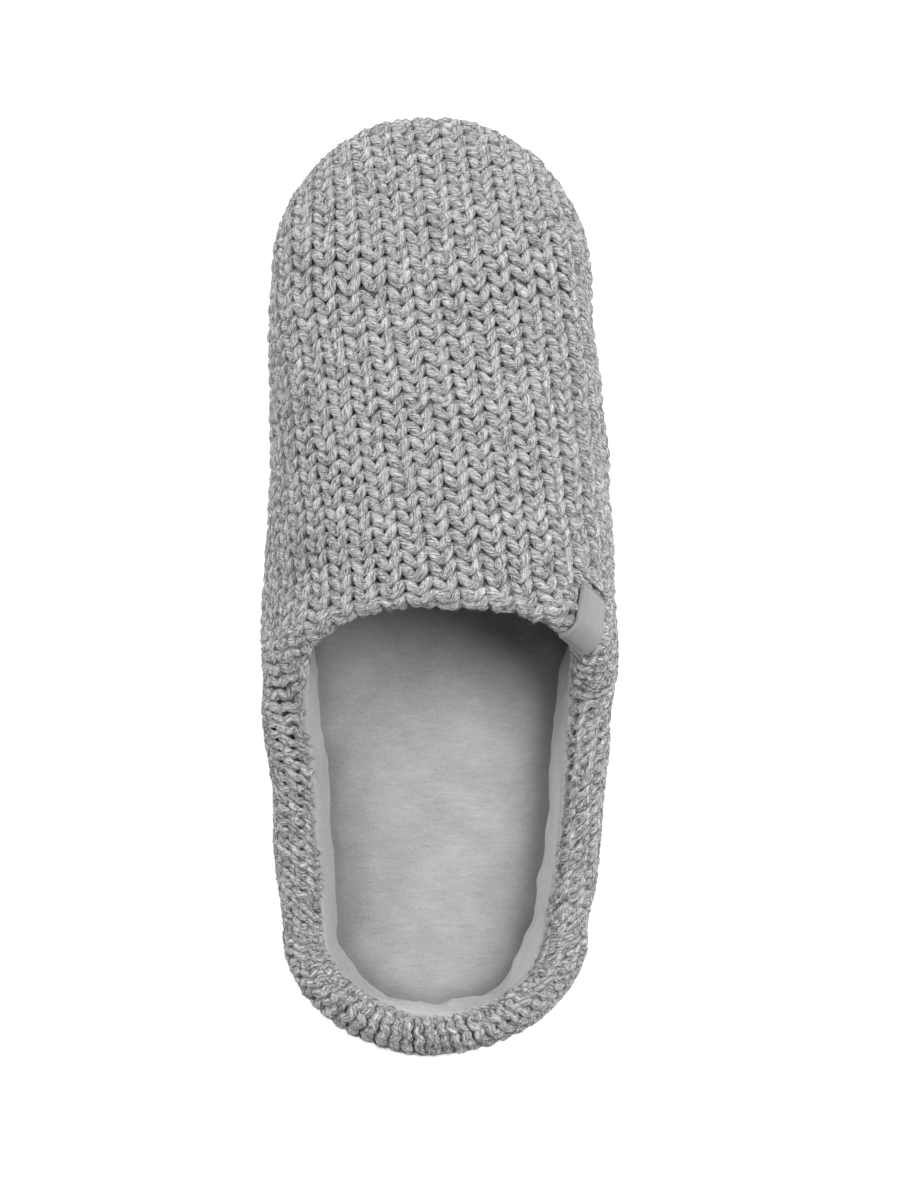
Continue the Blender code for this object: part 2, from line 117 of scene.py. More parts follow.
# How finely the last is read, and how far its pattern keeps from the centre back
DOME_STEPS, TUCK_STEPS, RIDGE_STEPS, RIM_STEPS, UPPER_ROWS = 22, 6, 60, 1100, 64
HEEL_STATIONS, SIDE_STATIONS, ARCH_STATIONS, TOE_SPREAD = 64, 34, 110, 0.92
BACK_MARGIN = 0.2 * MM

# Yarn: points round it, twist in radians and its grain's step in millimetres, points a stitch, shortest run
YARN_SIDES, YARN_TWIST, GRAIN_STEP, STITCH_POINTS, SHORTEST_RUN = 8, 0.55, 37.0, 14, 6
YARN_PIECES, FUZZ_PIECES = 4, 3

# The chart: columns on each side, courses behind and ahead, and how far a stitch strays each way; the
# collar's finer stitches set in behind and beside a place, narrower about a line, calmer, flatter, thinner
COLUMN_COUNT, COURSES_BEHIND, COURSES_AHEAD = 19, 60, 62
STITCH_DRIFT = (0.22 * MM, 0.2 * MM, 0.14 * MM)
LEAN_LEVELS_AT, TIGHTER = -34 * MM, 0.24
FINE_AHEAD, FINE_FADE, FINE_BESIDE, FINE_BLEND = 4 * MM, 44 * MM, 28 * MM, 12 * MM
FINER, FINER_ROUND = 0.34, 66 * MM
FINE_CALMER, FINE_FLATTER, FINE_THINNER = 0.15, 0.45, 0.2

# At the collar the courses sweep forward outside and calm down before the edge; the yarn ends past the sole's
# edge and the centre back, or dives under the lining's lip
SWEEP_AHEAD, SWEEP_FADE, SWEEP_PAST, SWEEP_REACH = -6 * MM, 50 * MM, 20 * MM, 26 * MM
CALM_BEFORE, CALM_FADE = 3 * MM, 5 * MM
PAST_SOLE, PAST_BACK, YARN_HEM = 0.8 * MM, 1 * MM, 1.2 * MM
YARN_DIVE, DIVE_BEFORE, DIVE_DEPTH = 1.8 * MM, 0.4 * MM, 2.2 * MM

# How proud the yarn lies, the fabric's slow rise and fall, the yarn's swelling; the backing under it, dark as
# painted shade between the stitches
YARN_PROUD = 0.35 * MM
FABRIC_WAVE, FABRIC_RISE = 30 * MM, 0.35 * MM
SWELL_WAVE, SWELL, HEEL_SWELL, HEEL_FADE, SWEEP_SWELL = 5 * MM, 0.07, 0.08, 30 * MM, 0.14
BACKING_SINK, ROLL_ROWS = 2.25 * MM, 14

# The lining: its lip's turns in degrees and depths in millimetres, the lip's rise and rows, the lumps' size,
# share and seed, limits, and the painted light on its outer strip: start and fade outwards, backwards and in
# rows down
LIP_ROLL = ((174, -0.5), (168, -0.35), (163, 0.4), (160, 2.6))
LIP_RISE, LIP_ROWS, LIP_FADE = 0.7 * MM, 3, 2.6
LINING_LUMPS = ((11 * MM, 1.0, 3), (4.5 * MM, 0.4, 4))
LINING_RISE = (-1.2 * MM, 1.6 * MM)
PAINTED_LIGHT_FADES = ((14, 10), (-4, 20), (3, 12))

# Folds of the lining and the foot's dents: place, half-widths and depth in millimetres
LINING_FOLDS = ((-31.0, -108.0, 3.5, 3.5, -0.9), (33.5, -88.0, 6.0, 6.0, -0.3))
FOOT_DENTS = ((-1.5, -92.0, 24.0, 30.0, -0.7), (-4.0, 50.0, 34.0, 34.0, -0.6))

# Where the lining meets the footbed round the heel, in millimetres from the inner side to the outer, pulled
# straight between its corners; the point that it is drawn in to, its level, and the pull's fade and limits
HEEL_CREASE = (
    *((-34.0, -88.0), (-33.0, -100.0), (-31.8, -110.0), (-25.6, -115.3)),
    *((-19.8, -122.0), (-17.6, -126.6), (-10.5, -127.1), (-6.0, -126.1)),
    *((-0.2, -127.3), (3.4, -125.7), (10.3, -124.7), (16.4, -123.8)),
    *((19.0, -119.5), (22.0, -114.0), (25.4, -105.5), (29.5, -90.0)),
)
HEEL_MIDDLE = (-1.5 * MM, -84.0 * MM)
CREASE_LEVEL, CREASE_FADE = 17.5 * MM, 13 * MM
CREASE_PULL, CREASE_ENDS = (-0.6 * MM, 4 * MM), 0.2

# The footbed: edge rings as shares of its thickness, rings inwards and how they crowd; its press into the
# lining, crown, lumps, and the painted shade along its edge by the crease: full band and fade
FOOTBED_EDGE, FOOTBED_RINGS, FOOTBED_CROWDING = (0.1, 0.35, 0.55), 46, 1.3
RIM_PRESS, PRESS_FADE = 1.8 * MM, 1.5 * MM
CROWN, CROWN_FADE = 2.3 * MM, 4 * MM
PILE_WAVE, PILE_SHARE = 14 * MM, 0.7
SHADE_BAND, SHADE_FADE = 1.5 * MM, 2.2 * MM

# The tab: its middle as a turn round the throat's outer arch, its width and reach outside the edge and past
# it, and its mesh's rows and columns; its height and edge; its groove; the tail that dips in; its thread
LABEL_AT = math.radians(49)
LABEL_SIZE, LABEL_STEPS = (12 * MM, 12.5 * MM, 8.5 * MM), (56, 30)
LABEL_THICKNESS, LABEL_EDGE, LABEL_ROUNDING = 1.2 * MM, 0.35, 0.7 * MM
LABEL_LIFT, LABEL_BACK = 0.35 * MM, 0.3 * MM
GROOVE_AT, GROOVE_WIDTH, TAIL, TAIL_DEPTH = 1.3 * MM, 0.28 * MM, 3.5 * MM, 1.5 * MM
THREAD_RADIUS, THREAD_LIFT, THREAD_OUT, THREAD_WIDER = 0.55 * MM, 0.75 * MM, 1.1 * MM, 1.12

# The stage, in metres: the floor's rings, bend, wall and sides; the lights' places and sizes, and their aim
FLOOR_RINGS, FLOOR_BEND, WALL_TOP, FLOOR_SIDES = (0.4, 2.0, 6.0), 2.0, 4.0, 96
FLOOR_DROP = 0.05 * MM
LIGHTS = {"key": ((0.66, 0.22, 1.05), 0.75), "fill": ((-0.85, 0.5, 0.95), 0.8)}
LIGHT_AIM = (0, 0, 0.03)

# The photo's frame: its pixels high, pixels a millimetre at the collar's level, and the floor's point under
# its middle
PHOTO_HEIGHT, PHOTO_PIXELS_PER_MM = 1200, 3.297
COLLAR_LEVEL = 28 * MM
VIEW_MIDDLE = (3.0 * MM, -4.8 * MM)


def along_to_y(along):
    return (np.asarray(along, float) - 0.5) * LENGTH


def points_of(table, column, unit_size):
    rows = np.array(table, float)
    return along_to_y(rows[:, ALONG]), rows[:, column] * unit_size


def read(table, column, x, unit_size):
    """A smooth curve through one column of a table, read at x."""
    xs, ys = points_of(table, column, unit_size)
    slopes = np.gradient(ys, xs)
    x = np.clip(x, xs[0], xs[-1])
    i = np.clip(np.searchsorted(xs, x, side="right") - 1, 0, len(xs) - 2)
    h = xs[i + 1] - xs[i]
    t = (x - xs[i]) / h
    return (
        ys[i] * (1 + 2 * t) * (1 - t) ** 2
        + ys[i + 1] * t * t * (3 - 2 * t)
        + slopes[i] * h * t * (1 - t) ** 2
        - slopes[i + 1] * h * t * t * (1 - t)
    )


def spine_x(y):
    return read(SECTIONS, SPINE, y, WIDTH)


def half_width(side, y):
    """From the spine to the widest line, on the inner side (-1) or the outer side (1)."""
    medial = read(SECTIONS, MEDIAL, y, WIDTH) + spine_x(y)
    lateral = read(SECTIONS, LATERAL, y, WIDTH) - spine_x(y)
    return np.where(np.asarray(side) < 0, medial, lateral)


def ridge_height(y):
    return read(SECTIONS, RIDGE, y, INSTEP_HEIGHT)


def widest_height(y):
    return read(SECTIONS, WIDEST, y, HEEL_HEIGHT)


def sole_top(y):
    return np.interp(y, *points_of(SOLE, TOP, MM))


def ease(x):
    t = np.clip(x, 0, 1)
    return t * t * (3 - 2 * t)


def follow(x, xs, values):
    """The rows of values that belong to xs, read at x."""
    return np.stack([np.interp(x, xs, column) for column in values.T], -1)


def run_along(points):
    """The length along a line of points, from its start."""
    return join([[0], np.cumsum(np.linalg.norm(np.diff(points, axis=0), axis=1))])


def rounded(turn, power):
    """A point of a rounded corner at a turn, across from 0 to 1 and ahead from -1 to 1."""
    ahead = np.sin(turn)
    return np.abs(np.cos(turn)) ** (2 / power), np.sign(ahead) * np.abs(ahead) ** (2 / power)


def tuck_at(y):
    """How far the wall draws in below the widest line."""
    return TUCK + (HEEL_TUCK - TUCK) * ease((Y_HEEL - y) / HEEL_REACH)


def wall_thickness(v):
    """The quarter and its collar are padded; the vamp is knit and lining alone."""
    padding = ease((THROAT - v) / PADDING_FADE)
    back = ease((Y_HEEL - v) / BACK_FADE)
    return WALL + (COLLAR_WALL - WALL) * padding - BACK_THINNER * back


Y_HEEL, Y_TOE = (float(along_to_y(p)) for p in (HEEL_PIVOT, TOE_PIVOT))
HEEL_REACH, TOE_REACH = Y_HEEL + LENGTH / 2, LENGTH / 2 - Y_TOE
RIDGE_Y = np.linspace(THROAT, Y_TOE, RIDGE_STEPS)
RIDGE_V = THROAT + run_along(np.stack([RIDGE_Y, ridge_height(RIDGE_Y)], 1))
V_TOE = float(RIDGE_V[-1])
HEEL_ARC = math.pi / 4 * (HEEL_REACH + float(half_width(1, Y_HEEL) + half_width(-1, Y_HEEL)) / 2)
V_BACK = Y_HEEL - HEEL_ARC


def spokes(base, reach):
    """The last's section from the spine point base out along reach, down to the sole, as (N, K, 3) points."""
    share, rise = rounded(np.linspace(math.pi / 2, 0, DOME_STEPS), DOME_POWER)
    length = np.linalg.norm(reach, axis=1)
    turn = np.linspace(0, TUCK_TURN, TUCK_STEPS + 1)[1:]
    inset = (1 - np.cos(turn)) / (1 - math.cos(TUCK_TURN))
    drop = np.sin(turn) / math.sin(TUCK_TURN)
    tip = (base + reach)[:, 1]
    out = join(
        [np.outer(np.ones(len(base)), share), 1 - np.outer(tuck_at(tip) / length, inset)], 1
    )
    plan = base[:, None, :] + out[:, :, None] * reach[:, None, :]
    y = plan[:, :, 1]
    low = widest_height(y)
    feather = sole_top(y) + GAP
    dome = low + (ridge_height(y) - low) * join([rise, np.zeros(TUCK_STEPS)])
    tuck = (low - feather) * join([np.zeros(DOME_STEPS), drop])
    return join([plan, (dome - tuck)[:, :, None]], 2)


def lengths(points):
    steps = np.linalg.norm(np.diff(points, axis=1), axis=2)
    return join([np.zeros((len(points), 1)), np.cumsum(steps, axis=1)], 1)


def section(side, y, across=1.0, ahead=0.0):
    """The last's section from its spine at y: out by a share of the half-width, and ahead by a length."""
    base = np.stack([spine_x(y), y], 1)
    reach = np.stack([side * half_width(side, y) * across, ahead + np.zeros_like(y)], 1)
    return spokes(base, reach)


def side_girth(side, y):
    """Length of the last's section on one side, from the spine to the sole."""
    return lengths(section(side, np.atleast_1d(np.asarray(y, float))))[:, -1]


THROAT_GIRTH = {side: float(side_girth(side, THROAT)[0]) for side in (-1, 1)}


def throat_girth(side):
    return np.where(side < 0, THROAT_GIRTH[-1], THROAT_GIRTH[1])


def last_point(u, v, hem=0.0):
    """The pattern point (u, v) on the outside of the upper, kept hem short of the sole's edge. Past the
    throat the pattern hangs from the sole's edge, not from the ridge; at toe and heel it fans round a
    pivot."""
    u, v = (np.atleast_1d(np.asarray(c, float)) for c in (u, v))
    side = np.where(u < 0, -1, 1)
    toe, heel, quarter = v > V_TOE, v < Y_HEEL, v < THROAT
    y = np.where(quarter, v, np.interp(v, RIDGE_V, RIDGE_Y))
    y = np.clip(y, Y_HEEL, Y_TOE)
    bend = np.zeros_like(u)
    bend[toe] = math.pi / 2 - np.arctan2(np.abs(u[toe]), v[toe] - V_TOE)
    bend[heel] = (v[heel] - Y_HEEL) / HEEL_ARC * math.pi / 2
    across, ahead = rounded(bend, np.where(heel, HEEL_POWER, TOE_POWER))
    depth = np.where(heel, HEEL_REACH, TOE_REACH)
    points = section(side, y, across, depth * ahead)
    run = lengths(points)
    s = np.where(toe, np.hypot(u, v - V_TOE), np.abs(u))
    s = np.where(quarter, run[:, -1] - (throat_girth(side) - np.abs(u)), s)
    if hem:
        s = np.minimum(s, run[:, -1] - hem)
    i = np.clip((run <= s[:, None]).sum(1) - 1, 0, run.shape[1] - 2)
    row = np.arange(len(u))
    t = (s - run[row, i]) / (run[row, i + 1] - run[row, i])
    return points[row, i] * (1 - t)[:, None] + points[row, i + 1] * t[:, None]


def unit(vectors):
    return vectors / np.maximum(np.linalg.norm(vectors, axis=-1, keepdims=True), 1e-12)


def last_normal(u, v):
    step = 0.6 * MM
    across = last_point(u + step, v) - last_point(u - step, v)
    ahead = last_point(u, v + step) - last_point(u, v - step)
    return unit(np.cross(across, ahead))


def toe_girth(bend):
    """Length of the toe's section from its pivot to the sole, for bends from the outer side to the inner."""
    side = np.where(bend < math.pi / 2, 1, -1)
    across, ahead = rounded(bend, TOE_POWER)
    return lengths(section(side, np.full_like(bend, Y_TOE), across, TOE_REACH * ahead))[:, -1]


def feather_u(side, v):
    y = np.clip(np.interp(v, RIDGE_V, RIDGE_Y), THROAT, Y_TOE)
    return side * side_girth(side, y)


def sole_reach(u, v):
    """How far inside the sole's edge the pattern point (u, v) lies."""
    u, v = np.asarray(u, float), np.asarray(v, float)
    side = np.where(u < 0, -1, 1)
    beside = np.where(side < 0, -feather_u(-1, v), feather_u(1, v))
    beside = np.where(v < THROAT, throat_girth(side), beside)
    bend = np.arctan2(np.maximum(v - V_TOE, 0), u)
    ahead = toe_girth(bend) - np.hypot(u, v - V_TOE)
    return np.where(v > V_TOE, ahead, beside - np.abs(u))


def v_to_y(v):
    turn = np.clip((Y_HEEL - v) / HEEL_ARC, 0, 1) * math.pi / 2
    return np.where(v < Y_HEEL, Y_HEEL - HEEL_REACH * np.sin(turn), v)


def collar_u(side, v):
    """Pattern distance from the centre line to the quarter's collar, from the collar's height."""
    v = np.atleast_1d(v)
    u_now = np.full(len(v), throat_girth(side) - COLLAR_GUESS)
    target = read(COLLAR, TOP, v_to_y(v), HEEL_HEIGHT) - wall_thickness(v) / 2
    for _ in range(COLLAR_TRIES):
        height = last_point(side * u_now, v)[:, 2]
        u_now = u_now + (height - target) * COLLAR_STEP
    return side * u_now


def arch_edge(side, turn):
    """The throat's edge in the pattern, from the side (turn 0) to the centre line."""
    corner = float(abs(collar_u(side, np.array([ARCH_START]))[0]))
    across, ahead = rounded(turn, ARCH_POWER[side])
    return np.stack([side * corner * across, ARCH_START + (THROAT - ARCH_START) * ahead], 1)


def side_lines(side):
    """For one side, from the centre back to the toe: the pattern points on the sole's edge and those on the
    opening's edge that face them."""
    round_heel = np.linspace(V_BACK, Y_HEEL, HEEL_STATIONS)
    along_side = np.linspace(Y_HEEL, ARCH_START, SIDE_STATIONS)
    v = join([round_heel[:-1], along_side[:-1]])
    feather = np.stack([np.full(len(v), side * throat_girth(side)), v], 1)
    edge = np.stack([collar_u(side, v), v], 1)

    t = np.linspace(0, 1, ARCH_STATIONS)
    edge = join([edge, arch_edge(side, t * math.pi / 2)])
    vamp_length = V_TOE - ARCH_START
    toe_length = 0.5 * math.pi * float(toe_girth(np.array([math.pi / 4]))[0])
    run = t**TOE_SPREAD * (vamp_length + toe_length)
    on_vamp = run < vamp_length
    vamp_v = ARCH_START + run[on_vamp]
    vamp = np.stack([feather_u(side, vamp_v), vamp_v], 1)
    bend = (run[~on_vamp] - vamp_length) / toe_length * math.pi / 2
    radius = toe_girth(bend if side > 0 else math.pi - bend)
    toe = np.stack([side * radius * np.cos(bend), V_TOE + radius * np.sin(bend)], 1)
    return join([feather, vamp, toe]), edge


def both_sides(outer, inner):
    """One loop from two lines that share their ends."""
    return join([outer, inner[-2:0:-1]])


FEATHER_LOOP, EDGE_LOOP = (both_sides(o, i) for o, i in zip(side_lines(1), side_lines(-1)))


class Rim:
    """The opening's edge, read at any place round it: pattern point, place, normal, travel and roll."""

    def __init__(self):
        sides = [side_lines(s)[1] for s in (1, -1)]
        chain = join([sides[0], sides[1][-2::-1]])
        run = run_along(chain)
        self.run = np.linspace(0, run[-1], RIM_STEPS)
        self.flat = follow(self.run, run, chain)
        self.tangent = unit(np.gradient(self.flat, axis=0))
        self.place = last_point(*self.flat.T)
        self.normal = last_normal(*self.flat.T)
        self.travel = unit(np.cross(self.normal, np.gradient(self.place, axis=0)))
        self.radius = wall_thickness(self.flat[:, 1]) / 2

    def nearest(self, flat, batch=4000):
        """For pattern points: the place round the rim, and how far they lie inside the opening."""
        found = np.empty(len(flat), int)
        for start in range(0, len(flat), batch):
            part = flat[start : start + batch]
            away = ((part[:, None, :] - self.flat[None]) ** 2).sum(2)
            found[start : start + batch] = away.argmin(1)
        offset = flat - self.flat[found]
        tangent = self.tangent[found]
        past = offset[:, 1] * tangent[:, 0] - offset[:, 0] * tangent[:, 1]
        return self.run[found] + (offset * tangent).sum(1), past

    def at(self, run, field):
        values = getattr(self, field)
        if values.ndim == 1:
            return np.interp(run, self.run, values)
        return follow(run, self.run, values)


RIM = Rim()


def wrap(flat, lift=0.0, hem=0.0):
    """Pattern points laid on the upper: over the outside, and past the edge round its roll and down the
    inside. lift raises them off the fabric. Returns places and normals."""
    u, v = flat[:, 0], np.maximum(flat[:, 1], V_BACK + BACK_MARGIN)
    run, past = RIM.nearest(np.stack([u, v], 1))
    place, normal = last_point(u, v, hem), last_normal(u, v)
    radius = RIM.at(run, "radius")
    turn = np.clip(past / radius, 0, math.pi)[:, None]
    beyond = np.maximum(past - math.pi * radius, 0)[:, None]
    radius = radius[:, None]
    out, travel = unit(RIM.at(run, "normal")), unit(RIM.at(run, "travel"))
    over = RIM.at(run, "place") + radius * (np.sin(turn) * travel - (1 - np.cos(turn)) * out)
    over = over - beyond * travel
    rolled = (past > 0)[:, None]
    place = np.where(rolled, over, place)
    normal = np.where(rolled, np.cos(turn) * out + np.sin(turn) * travel, normal)
    return place + normal * np.reshape(lift, (-1, 1)), normal


def upper_skins():
    """Rings up the outside of the upper and up its inside, as (rows, stations, 3), and outer normals."""
    t = np.linspace(0, 1, UPPER_ROWS)
    outside, inside, outward = [], [], []
    for share in (t + t * t) / 2:
        u, v = (FEATHER_LOOP + (EDGE_LOOP - FEATHER_LOOP) * share).T
        point, normal = last_point(u, v), last_normal(u, v)
        outward.append(normal.copy())
        above = point[:, 2] - sole_top(point[:, 1]) - GAP
        free = ease(above / LEVEL_BELOW)
        normal[:, 2] *= free + (1 - free) * share
        outside.append(point)
        inside.append(point - unit(normal) * wall_thickness(v)[:, None])
    for ring in (outside[0], inside[0]):
        ring[:, 2] = sole_top(ring[:, 1]) + GAP
    return np.array(outside), np.array(inside), np.array(outward)


def roll_rings(turns, sink=0.0):
    """Rings round the rolled edge at the given turns, sunk below its surface."""
    u, v = EDGE_LOOP.T
    place, normal = last_point(u, v), last_normal(u, v)
    along = np.roll(place, -1, axis=0) - np.roll(place, 1, axis=0)
    travel = unit(np.cross(normal, along))
    radius = (wall_thickness(v) / 2)[:, None]
    rings = []
    for turn in turns:
        out = math.cos(turn) * normal + math.sin(turn) * travel
        rings.append(place - radius * normal + (radius - sink) * out)
    return np.array(rings)


def waves(points, size, seed, count=14):
    """Soft random lumps of about the given size, from -1 to 1, the same each run."""
    rng = np.random.default_rng(seed)
    direction = unit(rng.normal(size=(count, 3)))
    stretch = rng.uniform(0.7, 1.6, count) * math.tau / size
    phase = rng.uniform(0, math.tau, count)
    total = np.zeros(points.shape[:-1])
    for way, number, start in zip(direction, stretch, phase):
        total += np.sin(points @ way * number + start)
    return total / math.sqrt(count)


def dents(points, table):
    """Soft round dents, from rows of place, half-widths and depth in millimetres."""
    total = 0
    for x, y, wide, long, depth in table:
        away = np.hypot((points[..., 0] / MM - x) / wide, (points[..., 1] / MM - y) / long)
        total = total + depth * MM * np.exp(-(away**2))
    return total


def scene_object(name, data):
    """An object of this data, put in the scene."""
    piece = bpy.data.objects.new(name, data)
    bpy.context.scene.collection.objects.link(piece)
    return piece


def mesh_object(name, points, quads, **fields):
    """A smooth mesh object from points and faces of equal corners, with named values on its points."""
    data = bpy.data.meshes.new(name)
    quads = np.asarray(quads, np.int32)
    data.vertices.add(len(points))
    data.vertices.foreach_set("co", np.asarray(points, np.float32).ravel())
    data.loops.add(quads.size)
    data.loops.foreach_set("vertex_index", quads.ravel())
    data.polygons.add(len(quads))
    data.polygons.foreach_set("loop_start", np.arange(0, quads.size, quads.shape[1], dtype=np.int32))
    data.update(calc_edges=True)
    data.validate()
    data.shade_smooth()
    for field, values in fields.items():
        kind, slot = ("FLOAT_VECTOR", "vector") if np.ndim(values) == 2 else ("FLOAT", "value")
        layer = data.attributes.new(field, kind, "POINT")
        layer.data.foreach_set(slot, np.asarray(values, np.float32).ravel())
    return scene_object(name, data)


def grid_quads(rows, columns, round_rows=False):
    """Faces of a grid of points; round_rows joins each row's end to its start."""
    across = columns if round_rows else columns - 1
    i, j = np.meshgrid(np.arange(rows - 1), np.arange(across), indexing="ij")
    i, j = i.ravel(), j.ravel()
    k = (j + 1) % columns
    return np.stack([i * columns + j, i * columns + k, (i + 1) * columns + k, (i + 1) * columns + j], 1)


def grid_normals(grid):
    along = np.roll(grid, -1, axis=1) - np.roll(grid, 1, axis=1)
    return unit(np.cross(along, np.gradient(grid, axis=0)))


def tube_mesh(paths, normals, radii, sides):
    """Points, faces and strand coordinates of yarn tubes: millimetres along, and the ring's two ways."""
    angle = np.linspace(0, math.tau, sides, endpoint=False)
    all_points, all_quads, all_strand, first = [], [], [], 0
    cap = np.array([(0, 1, 2, 3), (0, 3, 4, 7), (4, 5, 6, 7)])
    along_so_far = 0.0
    for path, normal, radius in zip(paths, normals, radii):
        tangent = unit(np.gradient(path, axis=0))
        side = unit(np.cross(tangent, normal))
        up = np.cross(side, tangent)
        run = run_along(path) / MM + along_so_far
        along_so_far = run[-1] + GRAIN_STEP
        ring = up[:, None] * np.cos(angle)[None, :, None] + side[:, None] * np.sin(angle)[None, :, None]
        points = path[:, None] + ring * radius[:, None, None]
        twist = angle[None] + run[:, None] * YARN_TWIST
        around = np.stack([np.cos(twist), np.sin(twist)], 2) * radius[:, None, None] / MM
        strand = join([np.broadcast_to(run[:, None, None], around.shape[:2] + (1,)), around], 2)
        rows = len(path)
        all_points.append(points.reshape(-1, 3))
        all_strand.append(strand.reshape(-1, 3))
        all_quads.append(grid_quads(rows, sides, round_rows=True)[:, ::-1] + first)
        all_quads.append(cap + first)
        all_quads.append(cap[:, ::-1] + first + (rows - 1) * sides)
        first += rows * sides
    return join(all_points), join(all_quads), join(all_strand)


def fineness(a, b):
    """How far a place in the chart has the collar's smaller stitches, from 0 to 1."""
    return ease((FINE_AHEAD - b) / FINE_FADE) * ease((np.abs(a) - FINE_BESIDE) / FINE_BLEND)


def to_pattern(a, b, lean):
    """The knit's chart laid askew on the pattern: columns drift outwards towards the heel. Behind the throat
    they level off, and the stitches are smaller."""
    slope = math.tan(lean)
    behind = np.minimum(b - LEAN_LEVELS_AT, 0)
    a = np.sign(a) * (FINER_ROUND + (np.abs(a) - FINER_ROUND) * (1 - FINER * fineness(a, b)))
    return np.stack([a - slope * np.maximum(b, LEAN_LEVELS_AT), b - TIGHTER * behind + slope * a], -1)


def yarn_runs(knit):
    """The courses of the knit as yarn paths with their normals and radii: outside, over the collar's roll
    and down to the lining, where they dive under its lip."""
    columns = 2 * COLUMN_COUNT + 1
    rng = np.random.default_rng(11)
    drift = rng.normal(size=(COURSES_BEHIND + COURSES_AHEAD, columns + 1, 3))
    drift = (drift + np.roll(drift, 1, 0) + np.roll(drift, 1, 1) + np.roll(drift, -1, 1)) / 2
    drift *= np.array(STITCH_DRIFT)
    turn = np.arange(columns * STITCH_POINTS + 1) * math.tau / STITCH_POINTS
    place = turn / math.tau
    across = knit.column * (place - columns / 2) + knit.sway * np.sin(2 * turn)
    ahead = -knit.reach * np.cos(turn)
    relief = knit.foot * np.cos(turn) - knit.relief * np.cos(2 * turn)
    out = relief - knit.yarn - knit.relief + YARN_PROUD
    paths, normals, radii = [], [], []
    for row, wander in enumerate(drift, -COURSES_BEHIND):
        stray = follow(place, np.arange(len(wander)), wander)
        middle = row * knit.course + stray[:, 1]
        _, past = RIM.nearest(to_pattern(across + stray[:, 0], middle, knit.lean))
        fine = fineness(across, middle)
        calm = 1 - (knit.calm + FINE_CALMER * fine) * ease((past + CALM_BEFORE) / CALM_FADE)
        flat = to_pattern(across + stray[:, 0], middle + ahead * calm, knit.lean)
        sweep = ease((SWEEP_AHEAD - flat[:, 1]) / SWEEP_FADE)
        sweep *= ease((flat[:, 1] - V_BACK) / SWEEP_FADE)
        flat[:, 1] += sweep * knit.sweep * ease((SWEEP_PAST - past) / SWEEP_REACH)
        run, past = RIM.nearest(flat)
        beyond = past - math.pi * RIM.at(run, "radius")
        lift = out + fine * (FINE_THINNER * knit.yarn - FINE_FLATTER * relief) + stray[:, 2]
        lift -= DIVE_DEPTH * ease((beyond + DIVE_BEFORE) / (YARN_DIVE + DIVE_BEFORE))
        swell = 1 - FINE_THINNER * fine + 4 * SWEEP_SWELL * sweep * (1 - sweep)
        swell += HEEL_SWELL * ease((Y_HEEL - flat[:, 1]) / HEEL_FADE)
        kept = (sole_reach(*flat.T) > -PAST_SOLE) & (beyond < YARN_DIVE)
        kept &= flat[:, 1] > V_BACK - PAST_BACK
        edges = np.flatnonzero(np.diff(join([[0], kept.astype(int), [0]])))
        for start, stop in edges.reshape(-1, 2):
            if stop - start >= SHORTEST_RUN:
                path, normal = wrap(flat[start:stop], lift[start:stop], hem=YARN_HEM)
                path += normal * (waves(path, FABRIC_WAVE, 5) * FABRIC_RISE)[:, None]
                paths.append(path)
                normals.append(normal)
                radii.append(knit.yarn * (swell[start:stop] + SWELL * waves(path, SWELL_WAVE, 8)))
    return paths, normals, radii


def fibre_mesh(paths, normals, radii, count, seed):
    """Short loose fibres lying along the yarn, each a thin spindle bent over it, with its own shade."""
    rng = np.random.default_rng(seed)
    tangents = [unit(np.gradient(path, axis=0)) for path in paths]
    middle, ahead, up, radius = (join(stuff) for stuff in (paths, tangents, normals, radii))
    pick = rng.integers(0, len(middle), count)
    middle, ahead, up, radius = middle[pick], ahead[pick], up[pick], radius[pick][:, None]
    side = unit(np.cross(ahead, up))
    up = np.cross(side, ahead)
    turn = rng.uniform(-1.35, 1.35, count)[:, None]
    out = np.cos(turn) * up + np.sin(turn) * side
    over = np.cross(ahead, out)
    slant = rng.normal(0.32, 0.45, count)[:, None]
    along = np.cos(slant) * ahead + np.sin(slant) * over
    base = middle + out * radius
    half = rng.uniform(0.9, 2.4, count)[:, None] * MM
    thick = rng.uniform(0.07, 0.12, count)[:, None] * MM
    rise = rng.gamma(1.3, 0.16, (count, 2)) * MM
    heart = base + out * 0.06 * MM
    start = base - along * half + out * rise[:, :1]
    stop = base + along * half + out * rise[:, 1:]
    cross = np.cross(along, out)
    corners = [heart + thick * (math.cos(w) * out + math.sin(w) * cross) for w in (1.57, 3.67, 5.76)]
    points = np.stack([start, *corners, stop], 1).reshape(-1, 3)
    faces = np.array([(0, 2, 1), (0, 3, 2), (0, 1, 3), (4, 1, 2), (4, 2, 3), (4, 3, 1)])
    faces = (faces[None] + 5 * np.arange(count)[:, None, None]).reshape(-1, 3)
    return points, faces, np.repeat(rng.uniform(0, 1, count), 5)


class Term:
    """A value in a material's sums: Python's operators on it add Math nodes."""

    def __init__(self, sheet, socket):
        self.sheet, self.socket = sheet, socket

    def __add__(self, other):
        return self.sheet.maths("ADD", self, other)

    def __mul__(self, other):
        return self.sheet.maths("MULTIPLY", self, other)

    __radd__ = __add__
    __rmul__ = __mul__


